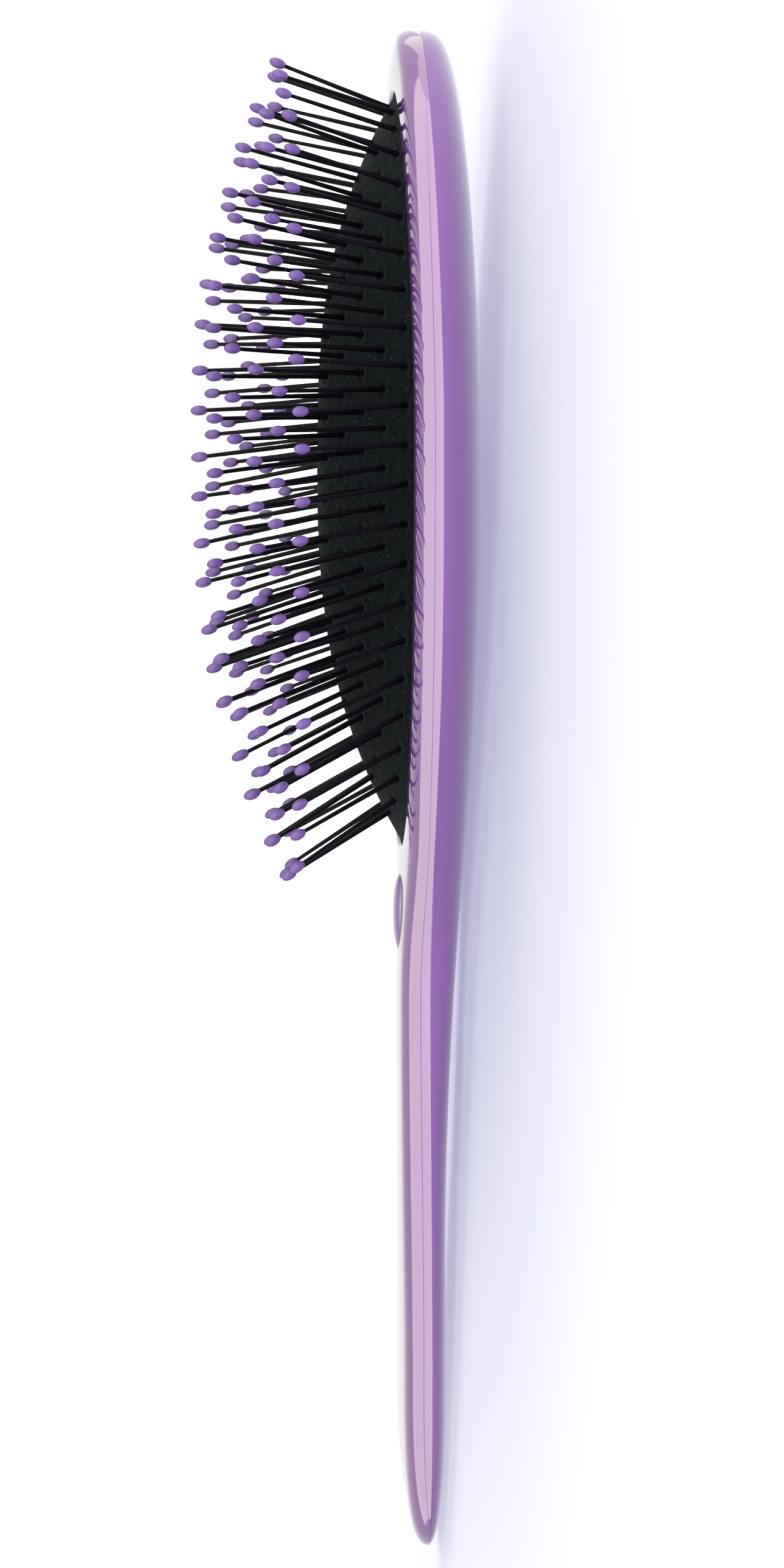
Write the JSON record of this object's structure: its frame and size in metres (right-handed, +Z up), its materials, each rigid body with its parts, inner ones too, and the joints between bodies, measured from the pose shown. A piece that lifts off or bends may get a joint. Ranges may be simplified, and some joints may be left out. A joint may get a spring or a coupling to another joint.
{
  "type": "detangling brush",
  "caption": "Paddle-shaped detangling brush with a two-part hollow handle, a domed air-cushioned rubber pad and flexible ball-tipped pins that lean and press in.",
  "frame": {"origin": "centre of the bounding box on the surface that the brush lies on, back down and pins up", "axes": "+X along the brush from the handle's end to the top of the head, +Y to the left seen from the handle, +Z up, the way the pins point"},
  "size_m": [0.2247, 0.0728, 0.0434],
  "materials": {
    "shell": "high gloss",
    "cushion": "finely pitted, matt",
    "pins": "semi-matt nylon",
    "tips": "satin"
  },
  "bodies": {
    "handle": {"front_shell": "shell", "back_shell": "shell"},
    "cushion": {"cushion": "cushion"},
    "row_centre": {"pins_centre": "pins", "tips_centre": "tips"},
    "row_left_1": {"pins_left_1": "pins", "tips_left_1": "tips"},
    "row_left_2": {"pins_left_2": "pins", "tips_left_2": "tips"},
    "row_left_3": {"pins_left_3": "pins", "tips_left_3": "tips"},
    "row_left_4": {"pins_left_4": "pins", "tips_left_4": "tips"},
    "row_left_5": {"pins_left_5": "pins", "tips_left_5": "tips"},
    "row_right_1": {"pins_right_1": "pins", "tips_right_1": "tips"},
    "row_right_2": {"pins_right_2": "pins", "tips_right_2": "tips"},
    "row_right_3": {"pins_right_3": "pins", "tips_right_3": "tips"},
    "row_right_4": {"pins_right_4": "pins", "tips_right_4": "tips"},
    "row_right_5": {"pins_right_5": "pins", "tips_right_5": "tips"}
  },
  "joints": [
    {"name": "cushion_press", "type": "slide", "parent": "handle", "child": "cushion", "axis": [0.038, 0, -0.9993], "range_m": [0, 0.003], "stiffness_N_per_m": 2500, "deforming": ["cushion"]},
    {"name": "lean_centre", "type": "hinge", "parent": "cushion", "child": "row_centre", "pos_m": [0.04685, 0, 0.02415], "axis": [0.9993, 0, 0.038], "range_deg": [-7, 7], "stiffness_Nm_per_rad": 0.12},
    {"name": "lean_left_1", "type": "hinge", "parent": "cushion", "child": "row_left_1", "pos_m": [0.04689, 0.00527, 0.02318], "axis": [0.9993, 0, 0.038], "range_deg": [-7, 7], "stiffness_Nm_per_rad": 0.12},
    {"name": "lean_left_2", "type": "hinge", "parent": "cushion", "child": "row_left_2", "pos_m": [0.04697, 0.01055, 0.021], "axis": [0.9993, 0, 0.038], "range_deg": [-7, 7], "stiffness_Nm_per_rad": 0.12},
    {"name": "lean_left_3", "type": "hinge", "parent": "cushion", "child": "row_left_3", "pos_m": [0.04707, 0.01582, 0.01837], "axis": [0.9993, 0, 0.038], "range_deg": [-7, 7], "stiffness_Nm_per_rad": 0.12},
    {"name": "lean_left_4", "type": "hinge", "parent": "cushion", "child": "row_left_4", "pos_m": [0.04718, 0.02109, 0.01556], "axis": [0.9993, 0, 0.038], "range_deg": [-7, 7], "stiffness_Nm_per_rad": 0.12},
    {"name": "lean_left_5", "type": "hinge", "parent": "cushion", "child": "row_left_5", "pos_m": [0.04729, 0.02636, 0.01267], "axis": [0.9993, 0, 0.038], "range_deg": [-7, 7], "stiffness_Nm_per_rad": 0.12},
    {"name": "lean_right_1", "type": "hinge", "parent": "cushion", "child": "row_right_1", "pos_m": [0.04689, -0.00527, 0.02318], "axis": [0.9993, 0, 0.038], "range_deg": [-7, 7], "stiffness_Nm_per_rad": 0.12},
    {"name": "lean_right_2", "type": "hinge", "parent": "cushion", "child": "row_right_2", "pos_m": [0.04697, -0.01055, 0.021], "axis": [0.9993, 0, 0.038], "range_deg": [-7, 7], "stiffness_Nm_per_rad": 0.12},
    {"name": "lean_right_3", "type": "hinge", "parent": "cushion", "child": "row_right_3", "pos_m": [0.04707, -0.01582, 0.01837], "axis": [0.9993, 0, 0.038], "range_deg": [-7, 7], "stiffness_Nm_per_rad": 0.12},
    {"name": "lean_right_4", "type": "hinge", "parent": "cushion", "child": "row_right_4", "pos_m": [0.04718, -0.02109, 0.01556], "axis": [0.9993, 0, 0.038], "range_deg": [-7, 7], "stiffness_Nm_per_rad": 0.12},
    {"name": "lean_right_5", "type": "hinge", "parent": "cushion", "child": "row_right_5", "pos_m": [0.04729, -0.02636, 0.01267], "axis": [0.9993, 0, 0.038], "range_deg": [-7, 7], "stiffness_Nm_per_rad": 0.12}
  ]
}
